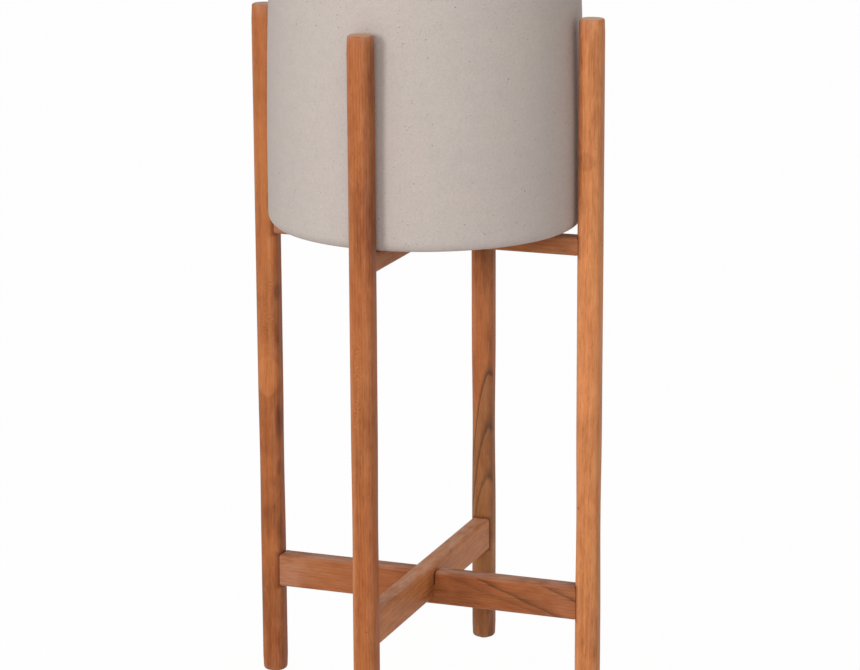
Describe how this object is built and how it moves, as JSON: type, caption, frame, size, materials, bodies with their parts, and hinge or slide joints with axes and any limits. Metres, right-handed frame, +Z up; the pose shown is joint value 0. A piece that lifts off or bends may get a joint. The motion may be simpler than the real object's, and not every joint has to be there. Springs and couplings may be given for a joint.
{
  "type": "planter with stand",
  "caption": "Tall wooden stand of upright legs joined by crossed rails, carrying a round straight-sided planter pot that lifts out and has a stopper in its drain hole.",
  "frame": {"origin": "floor level, in the middle of the four feet", "axes": "+Z up; the front leg stands at -Y, the right leg at +X"},
  "size_m": [0.428, 0.428, 0.885],
  "materials": {
    "leg_wood": "oiled warm brown hardwood, satin, grain along the leg",
    "rail_wood": "oiled warm brown hardwood, satin, grain along the rail",
    "dowel_wood": "plain beech dowel",
    "screw_steel": "zinc plated steel",
    "glide_plastic": "matt brown nylon",
    "pot_clay": "matt warm grey fired or fibre clay with fine pinholes",
    "plug_rubber": "matt black rubber"
  },
  "bodies": {
    "stand": {"leg_front": "leg_wood", "leg_right": "leg_wood", "leg_back": "leg_wood", "leg_left": "leg_wood", "upper_rail_front_back": "rail_wood", "upper_rail_left_right": "rail_wood", "lower_rail_front_back": "rail_wood", "lower_rail_left_right": "rail_wood", "upper_dowels": "dowel_wood", "lower_dowels": "dowel_wood", "upper_lap_screw": "screw_steel", "lower_lap_screw": "screw_steel", "glide_front": "glide_plastic", "glide_right": "glide_plastic", "glide_back": "glide_plastic", "glide_left": "glide_plastic", "glide_nails": "screw_steel"},
    "pot": {"pot": "pot_clay"},
    "drain_plug": {"drain_plug": "plug_rubber"}
  },
  "joints": [
    {"name": "pot_lift", "type": "slide", "parent": "stand", "child": "pot", "axis": [0, 0, 1], "range_m": [0, 0.32]},
    {"name": "plug_pull", "type": "slide", "parent": "pot", "child": "drain_plug", "axis": [0, 0, 1], "range_m": [0, 0.33]}
  ]
}
